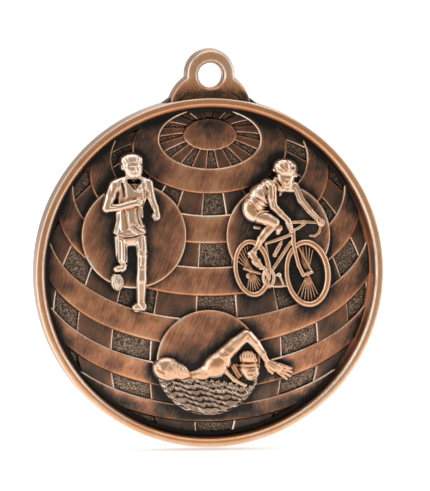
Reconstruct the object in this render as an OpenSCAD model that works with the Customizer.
/* [Medal] */
// Diameter of the medal at its back
medal_d = 50; // [40:1:70]
// Thickness of the medal at its rim
medal_t = 4; // [3.5:0.1:6]
// Width of the flat front face of the rim, edge rounding included
rim_w = 1.1; // [0.8:0.1:2]
// Radius of the rounding on the rim's front edges
rim_edge_r = 0.3; // [0.1:0.05:0.35]
// How far the rim's outer wall leans in from back to front
rim_draft = 0.2; // [0:0.05:0.4]
// How far the rim's inner wall leans in from the front face down to the field
wall_lean = 0.5; // [0.5:0.1:1.2]
// Depth of the recess in the back
back_recess = 0.3; // [0:0.05:0.5]

/* [Field] */
// Height of the raised bands over the back, where they meet the rim
band_edge_z = 1.7; // [1.5:0.1:2.5]
// Rise of the domed field from the rim to the middle
field_rise = 1.2; // [0.4:0.1:1.6]
// Step down from the bands to the smooth blocks
block_drop = 0.25; // [0.1:0.05:0.4]
// Step down from the bands to the grained ground
ground_drop = 0.65; // [0.45:0.05:0.9]

/* [Globe grid] */
// Radius of the sphere whose grid is drawn on the field
globe_r = 24.5; // [24.5:0.1:26]
// Latitude that faces the viewer, so the pole shows near the top
globe_tilt = 35.8; // [33:0.1:40]
// Angle between neighbouring parallels
parallel_step = 8.8; // [8.6:0.1:9]
// Angle between neighbouring meridians
meridian_step = 15; // [15:15:15]
// Longitude of the first meridian
meridian_start = -5; // [-15:1:15]

/* [Sport discs] */
// Diameter of the three plain discs
disc_d = 14.9; // [12:0.1:16]
// Height of the discs' top face over the back
disc_z = 3.4; // [3.3:0.1:3.8]
// Rounding of the discs' top edge
disc_edge_r = 0.25; // [0.1:0.05:0.4]

/* [Lug] */
// Thickness of the hanging lug
lug_t = 2.7; // [2:0.1:3.5]
// Radius of the hole that the ribbon's ring passes through
hole_r = 1.75; // [1.5:0.05:2.4]
// Distance from the medal's centre up to the hole
hole_up = 28; // [27:0.1:29]
// Distance from the medal's centre up to the eye's centre
eye_up = 28.2; // [27:0.1:29.5]
// Radius of the eye's front face
eye_r = 3.3; // [2.9:0.1:4]
// Radius of the shoulder's front face
shoulder_r = 5.8; // [4.5:0.1:6.5]
// Distance from the medal's centre up to the shoulder's centre
shoulder_up = 22.8; // [22:0.1:24]
// How far the lug's side walls lean in from back to front
lug_draft = 0.3; // [0:0.05:0.5]
// Rounding of the lug's front edge
lug_edge_r = 0.25; // [0.1:0.05:0.4]

/* [Hidden] */

// Radii of the rim, at its back, at its front and at the foot of its inner wall
back_r = medal_d / 2;
front_r = back_r - rim_draft;
rim_in_r = front_r - rim_w;
field_r = rim_in_r - wall_lean;

// Heights at the middle of the field, and the radius of its dome
band_z = band_edge_z + field_rise;
block_z = band_z - block_drop;
ground_z = band_z - ground_drop;
dome_r = (field_r * field_r + field_rise * field_rise) / (2 * field_rise);
dome_steps = 8;
tall = 12;
past = 1;

// Where the discs' centres are, across and up from the medal's centre
runner_disc_at = [-10.9, 5.3];
cyclist_disc_at = [9.7, 5.3];
swimmer_disc_at = [-0.2, -12.7];
disc_r = disc_d / 2;

// Columns round the globe, the gap left in a full ring behind the rim, and how finely curves are drawn
columns = 360 / meridian_step;
seam_gap = 8;
grid_steps = 3;
band_steps = 60;
cap_steps = 36;
round_fn = 120;
limb_fn = 12;
tube_fn = 24;

// The bicycle's points, across and up
rear_hub = [5.9, 0.6];
front_hub = [13.8, -0.1];
crank_at = [8.2, -0.6];
seat_lug = [8.1, 4.1];
head_lug = [11.8, 5];
bar_left = [11.8, 7];
bar_right = [14.8, 7.2];

// A point of the globe's grid as seen from the front, at an angle from the pole and a longitude
function globe_at(pole_angle, lon) = globe_r * [
    sin(pole_angle) * sin(lon),
    cos(globe_tilt) * cos(pole_angle) - sin(globe_tilt) * sin(pole_angle) * cos(lon)
];

// How far round a parallel stays on the visible side of the globe
function limb_lon(pole_angle) =
    pole_angle <= globe_tilt ? 180 - seam_gap
    : acos(max(-1, -tan(globe_tilt) / tan(pole_angle)));

function clamp_lon(pole_angle, lon) = max(-limb_lon(pole_angle), min(limb_lon(pole_angle), lon));

function parallel_points(pole_angle, from, to, steps) =
    [for (i = [0:steps]) globe_at(pole_angle, from + (to - from) * i / steps)];

// The outline between two parallels and two longitudes
function patch(upper, lower, from_u, to_u, from_l, to_l, steps) = concat(
    parallel_points(upper, from_u, to_u, steps),
    parallel_points(lower, to_l, from_l, steps)
);

function band_outline(upper, steps) = patch(
    upper, upper + parallel_step,
    -limb_lon(upper), limb_lon(upper),
    -limb_lon(upper + parallel_step), limb_lon(upper + parallel_step), steps
);

// The dome's height at a distance from the medal's axis
function dome_at(r, top) = top - (dome_r - sqrt(dome_r * dome_r - r * r));

// Points of a quarter circle, from one angle to another
function arc(cx, cy, r, from, to, steps = 4) = [
    for (i = [0:steps])
        [cx, cy] + r * [cos(from + (to - from) * i / steps), sin(from + (to - from) * i / steps)]
];

// An oval about the origin
function oval(a, b, steps = 48) = [for (i = [0:steps - 1]) [a * cos(360 * i / steps), b * sin(360 * i / steps)]];

// Takes a shape from the face frame, across, up and towards the viewer, to the hanging frame with the hole's
// centre at the origin
module hang() {
    translate([0, lug_t / 2, -hole_up]) rotate([90, 0, 0]) children();
}

// Everything under the dome whose top is at a height
module under_dome(top) {
    rotate_extrude($fn = round_fn)
        polygon(concat(
            [[0, -past], [field_r + past, -past]],
            [for (i = [0:dome_steps]) [
                (field_r + past) * (1 - i / dome_steps),
                dome_at((field_r + past) * (1 - i / dome_steps), top)
            ]]
        ));
}

// A round plate with a drafted wall and a rounded front edge
module drafted_plate(r, h, draft, edge) {
    rotate_extrude($fn = round_fn)
        polygon(concat(
            [[0, 0], [r + draft, 0]],
            arc(r - edge, h - edge, edge, 0, 90),
            [[0, h]]
        ));
}

module disc_prism(at) {
    translate([at[0], at[1], 0]) cylinder(r = disc_r, h = tall, $fn = round_fn);
}

module all_disc_prisms() {
    disc_prism(runner_disc_at);
    disc_prism(cyclist_disc_at);
    disc_prism(swimmer_disc_at);
}

// An outline raised from the ground to a domed level, stopping at the rim and at the discs
module raised(outline, top) {
    difference() {
        intersection() {
            linear_extrude(height = tall) polygon(outline);
            under_dome(top);
            cylinder(r = field_r, h = tall, $fn = round_fn);
        }
        under_dome(ground_z);
        all_disc_prisms();
    }
}

module medal_blank() {
    color("#4b3a30") hang()
        difference() {
            intersection() {
                cylinder(r = field_r, h = tall, $fn = round_fn);
                under_dome(ground_z);
            }
            translate([0, 0, -past]) cylinder(r = field_r + past, h = past + back_recess, $fn = round_fn);
        }
}

module rim_ring() {
    color("#d0875f") hang()
        rotate_extrude($fn = round_fn)
            polygon(concat(
                [[field_r, 0], [back_r, 0]],
                arc(front_r - rim_edge_r, medal_t - rim_edge_r, rim_edge_r, 0, 90),
                arc(rim_in_r + rim_edge_r, medal_t - rim_edge_r, rim_edge_r, 90, 180),
                [[field_r, band_edge_z]]
            ));
}

module hanger_lug() {
    web_w = 1.5;
    web_h = 1.6;
    chamfer = 0.45;
    color("#c07a52") hang()
        difference() {
            union() {
                translate([0, shoulder_up, 0]) drafted_plate(shoulder_r, lug_t, lug_draft, lug_edge_r);
                translate([0, eye_up, 0]) drafted_plate(eye_r, lug_t, lug_draft, lug_edge_r);
                for (side = [-1, 1])
                    linear_extrude(height = web_h)
                        polygon([
                            [side * (shoulder_r - web_w), shoulder_up + web_w],
                            [side * (shoulder_r + web_w), shoulder_up + web_w],
                            [side * (shoulder_r + lug_draft), shoulder_up + 1.5 * web_w]
                        ]);
            }
            translate([0, 0, -past]) cylinder(r = back_r, h = past, $fn = round_fn);
            cylinder(r1 = back_r, r2 = front_r, h = medal_t, $fn = round_fn);
            translate([0, hole_up, -past]) cylinder(r = hole_r, h = tall, $fn = round_fn);
            translate([0, hole_up, lug_t - chamfer])
                cylinder(r1 = hole_r, r2 = hole_r + 2 * chamfer, h = 2 * chamfer, $fn = round_fn);
        }
}

module polar_cap() {
    color("#8b5d45") hang()
        raised(parallel_points(parallel_step, 0, 360 - 360 / cap_steps, cap_steps - 1), band_z);
}

// One block between two parallels, a meridian step wide
module block(upper, lon) {
    lower = upper + parallel_step;
    raised(patch(
        upper, lower,
        clamp_lon(upper, lon), clamp_lon(upper, lon + meridian_step),
        clamp_lon(lower, lon), clamp_lon(lower, lon + meridian_step), grid_steps
    ), block_z);
}

module polar_rays() {
    color("#6f4a38") hang()
        for (c = [1:2:columns]) {
            lon = meridian_start + c * meridian_step;
            raised(patch(
                parallel_step, 2 * parallel_step, lon, lon + meridian_step, lon, lon + meridian_step, grid_steps
            ), block_z);
        }
}

// A raised band; bands and block rows take turns down the globe
module band(index) {
    color("#8b5d45") hang() raised(band_outline(2 * index * parallel_step, band_steps), band_z);
}

module block_row(index) {
    upper = (2 * index + 1) * parallel_step;
    reach = limb_lon(upper);
    color("#6f4a38") hang()
        for (c = [1:2:columns]) {
            lon = meridian_start + c * meridian_step - 180;
            if (abs(lon + meridian_step / 2) < reach) block(upper, lon);
        }
}

module sport_disc(at) {
    color("#a06a4c") hang()
        difference() {
            translate([at[0], at[1], 0]) drafted_plate(disc_r, disc_z, 0, disc_edge_r);
            under_dome(ground_z);
        }
}

// A limb between two points of the face frame, rooted in the field behind it
module limb(a, b, ra, rb) {
    root_z = 1.6;
    hull() {
        translate(a) sphere(r = ra, $fn = limb_fn);
        translate(b) sphere(r = rb, $fn = limb_fn);
        translate([a[0], a[1], root_z]) cylinder(r = ra, h = 0.1, $fn = limb_fn);
        translate([b[0], b[1], root_z]) cylinder(r = rb, h = 0.1, $fn = limb_fn);
    }
}

// A chain of limbs through joints, each joint a point and a radius
module limbs(joints) {
    for (i = [0:len(joints) - 2])
        limb(joints[i][0], joints[i + 1][0], joints[i][1], joints[i + 1][1]);
}

// A closed body round several joints
module trunk(joints) {
    root_z = 1.6;
    hull()
        for (joint = joints) {
            translate(joint[0]) sphere(r = joint[1], $fn = limb_fn);
            translate([joint[0][0], joint[0][1], root_z]) cylinder(r = joint[1], h = 0.1, $fn = limb_fn);
        }
}

// Cuts a figure's foot to the discs and the bands that it stands on
module on_relief() {
    difference() {
        children();
        under_dome(band_z);
        for (at = [runner_disc_at, cyclist_disc_at, swimmer_disc_at])
            translate([at[0], at[1], 0]) cylinder(r = disc_r, h = disc_z, $fn = round_fn);
    }
}

module runner() {
    z = disc_z;
    color("#d9a078") hang() on_relief() {
        trunk([[[-11.3, 15.3, z + 0.5], 1.45], [[-11.1, 14.5, z + 0.5], 1.2]]);
        trunk([
            [[-13.2, 12, z + 0.5], 0.9], [[-9.1, 12.2, z + 0.4], 0.9],
            [[-12.7, 6, z + 0.5], 1], [[-10, 6, z + 0.5], 1], [[-11, 13, z + 0.4], 0.7]
        ]);
        limbs([[[-13.6, 11.8, z + 0.5], 0.95], [[-14.7, 9.1, z + 0.6], 0.75],
            [[-10.8, 9.9, z + 1.2], 0.6], [[-10, 10.2, z + 1.3], 0.7]]);
        limbs([[[-8.7, 12, z + 0.4], 0.85], [[-8.1, 10.1, z + 0.4], 0.7], [[-7.8, 8.2, z + 0.6], 0.75]]);
        limbs([[[-12.6, 5.6, z + 0.5], 1.2], [[-12.6, 1.2, z + 0.8], 0.95], [[-13.2, -1.4, z + 0.2], 0.85]]);
        limbs([[[-10.1, 5.6, z + 0.5], 1.2], [[-9.8, 1, z + 0.5], 0.95], [[-9.7, -4, z + 0.1], 0.6],
            [[-10, -5.2, z + 0.1], 0.75]]);
    }
}

module cyclist() {
    z = disc_z;
    color("#d9a078") hang() on_relief() {
        trunk([[[10.2, 14.8, z + 0.6], 1.1], [[11.5, 14.9, z + 0.6], 1.1]]);
        limb([10.7, 13.4, z + 0.6], [10.3, 12.4, z + 0.4], 1, 0.8);
        trunk([
            [[8.3, 12, z + 0.5], 0.9], [[12, 11.7, z + 0.4], 0.8],
            [[6.4, 8.6, z + 0.5], 1.1], [[10.2, 10.6, z + 0.4], 0.8]
        ]);
        limbs([[[8.5, 12, z + 0.8], 0.8], [[9.4, 9.4, z + 1], 0.6], [[11.6, 7.2, z + 0.9], 0.6]]);
        limbs([[[12.2, 11.7, z + 0.4], 0.75], [[13.8, 8.5, z + 0.4], 0.55], [[15.7, 7, z + 0.6], 0.6]]);
        limbs([[[6.4, 8.2, z + 0.8], 1.15], [[9.6, 6.9, z + 1], 0.8], [[6.9, 3.3, z + 0.8], 0.5],
            [[7.7, 0.8, z + 0.7], 0.55]]);
    }
}

module swimmer() {
    z = disc_z;
    color("#d9a078") hang() on_relief() {
        trunk([[[-6.6, -13.6, z + 0.2], 0.9], [[-4.6, -13.2, z + 0.3], 1.1], [[-2.6, -14.2, z], 0.7]]);
        trunk([[[1, -13.2, z + 0.3], 1], [[2, -11.8, z + 0.5], 0.9], [[3, -13.6, z + 0.4], 0.7],
            [[-0.8, -14, z], 0.5]]);
        limbs([[[2, -11.8, z + 0.6], 0.85], [[5.3, -8.7, z + 0.9], 0.8], [[8, -12.6, z + 0.8], 0.5],
            [[9.6, -13.8, z + 0.5], 0.6]]);
        for (finger = [0:3])
            limb([9.8, -13.7 - 0.25 * finger, z + 0.4], [11.9 - 0.3 * finger, -14.9 - 0.3 * finger, z + 0.2],
                0.25, 0.2);
        trunk([[[5, -11.9, z + 0.4], 1.1], [[6, -12.2, z + 0.4], 1.05], [[5.9, -13.9, z + 0.3], 0.8]]);
        limbs([[[2.4, -13.2, z + 0.3], 0.55], [[3.6, -15, z + 0.2], 0.5], [[5, -16, z], 0.45]]);
    }
}

// One wheel seen at an angle: an oval tyre, a hub and straight spokes
module wheel(at, a, b, up) {
    tyre_w = 0.42;
    spoke_w = 0.09;
    hub_r = 0.4;
    spokes = 14;
    translate([at[0], at[1], 0])
        difference() {
            union() {
                linear_extrude(height = disc_z + up)
                    difference() {
                        polygon(oval(a + tyre_w / 2, b + tyre_w / 2));
                        polygon(oval(a - tyre_w / 2, b - tyre_w / 2));
                    }
                cylinder(r = hub_r, h = disc_z + up, $fn = tube_fn);
                linear_extrude(height = disc_z + up / 2)
                    for (i = [0:spokes - 1]) {
                        turn = 360 * (i + 0.5) / spokes;
                        polygon([
                            [hub_r * cos(turn - 9), hub_r * sin(turn - 9)],
                            [a * cos(turn), b * sin(turn)] + spoke_w * [sin(turn), -cos(turn)],
                            [a * cos(turn), b * sin(turn)] - spoke_w * [sin(turn), -cos(turn)],
                            [hub_r * cos(turn + 9), hub_r * sin(turn + 9)]
                        ]);
                    }
            }
            translate([-at[0], -at[1], 0]) under_dome(band_z);
            translate([cyclist_disc_at[0] - at[0], cyclist_disc_at[1] - at[1], 0])
                cylinder(r = disc_r, h = disc_z, $fn = round_fn);
        }
}

module bicycle_front_wheel() {
    color("#d9a078") hang() wheel(front_hub, 3.13, 4.66, 0.9);
}

module bicycle_rear_wheel() {
    color("#d9a078") hang() wheel(rear_hub, 2.49, 3.95, 0.6);
}

// A flat bar between two points, with a round boss at each end
module bar(a, b, w, boss) {
    run = b - a;
    translate(a) rotate(atan2(run[1], run[0])) translate([0, -w / 2]) square([norm(run), w]);
    translate(a) circle(d = boss, $fn = tube_fn);
    translate(b) circle(d = boss, $fn = tube_fn);
}

module bicycle_frame() {
    top_w = 0.4;
    down_w = 0.48;
    stay_w = 0.3;
    fork_w = 0.36;
    bar_w = 0.34;
    boss = 0.56;
    base_up = 0.95;
    thick = 0.5;
    fork_left = front_hub + [-0.6, -0.2];
    fork_right = front_hub + [0.5, -0.2];
    crown = head_lug + [1, -0.8];
    color("#d9a078") hang()
        translate([0, 0, disc_z + base_up])
            linear_extrude(height = thick) {
                bar(seat_lug, head_lug, top_w, boss);
                bar(crank_at, head_lug, down_w, boss);
                bar(crank_at, seat_lug, top_w, boss);
                bar(rear_hub, crank_at, stay_w, boss);
                bar(rear_hub, seat_lug, stay_w, boss);
                bar(head_lug, fork_left, fork_w, boss);
                bar(crown, fork_right, fork_w, boss);
                bar(head_lug, crown, fork_w, boss);
                bar(head_lug, bar_left, top_w, boss);
                bar(bar_left, bar_right, bar_w, boss);
                bar(bar_right, bar_right + [-0.4, -2.1], bar_w, boss);
            }
}

module bicycle_crankset() {
    base_up = 1.45;
    thick = 0.35;
    ring_a = 0.95;
    ring_b = 1.35;
    ring_w = 0.35;
    arm_w = 0.18;
    color("#d9a078") hang()
        translate([crank_at[0], crank_at[1], disc_z + base_up])
            linear_extrude(height = thick) {
                difference() {
                    polygon(oval(ring_a, ring_b));
                    polygon(oval(ring_a - ring_w, ring_b - ring_w));
                }
                for (turn = [0:72:359]) {
                    arm_end = [(ring_a - ring_w / 2) * cos(turn), (ring_b - ring_w / 2) * sin(turn)];
                    bar([0, 0], arm_end, arm_w, arm_w);
                }
                bar([0, 0], [1.9, -1.6], 2 * arm_w, 3 * arm_w);
            }
}

// Water over the lower half of its disc, with ripples across it
module water() {
    surface_y = -14.6;
    ripple = 0.22;
    step = 0.5;
    color("#b08468") hang()
        translate([0, 0, disc_z])
            for (row = [0:4]) {
                top = surface_y - 1.15 * row;
                linear_extrude(height = 0.55 - 0.07 * row)
                    intersection() {
                        translate(swimmer_disc_at) circle(r = disc_r - disc_edge_r, $fn = round_fn);
                        polygon(concat(
                            [
                                for (x = [-disc_r - past:step:disc_r + past])
                                    [x, top + ripple * sin(130 * x + 60 * row)]
                            ],
                            [[disc_r + past, top - 1], [-disc_r - past, top - 1]]
                        ));
                    }
            }
}

medal_blank();
rim_ring();
hanger_lug();
polar_cap();
polar_rays();
band(1);  // band_1
band(2);  // band_2
band(3);  // band_3
band(4);  // band_4
band(5);  // band_5
band(6);  // band_6
block_row(1);  // block_row_1
block_row(2);  // block_row_2
block_row(3);  // block_row_3
block_row(4);  // block_row_4
block_row(5);  // block_row_5
block_row(6);  // block_row_6
sport_disc(runner_disc_at);  // runner_disc
sport_disc(cyclist_disc_at);  // cyclist_disc
sport_disc(swimmer_disc_at);  // swimmer_disc
runner();
cyclist();
bicycle_frame();
bicycle_front_wheel();
bicycle_rear_wheel();
bicycle_crankset();
swimmer();
water();
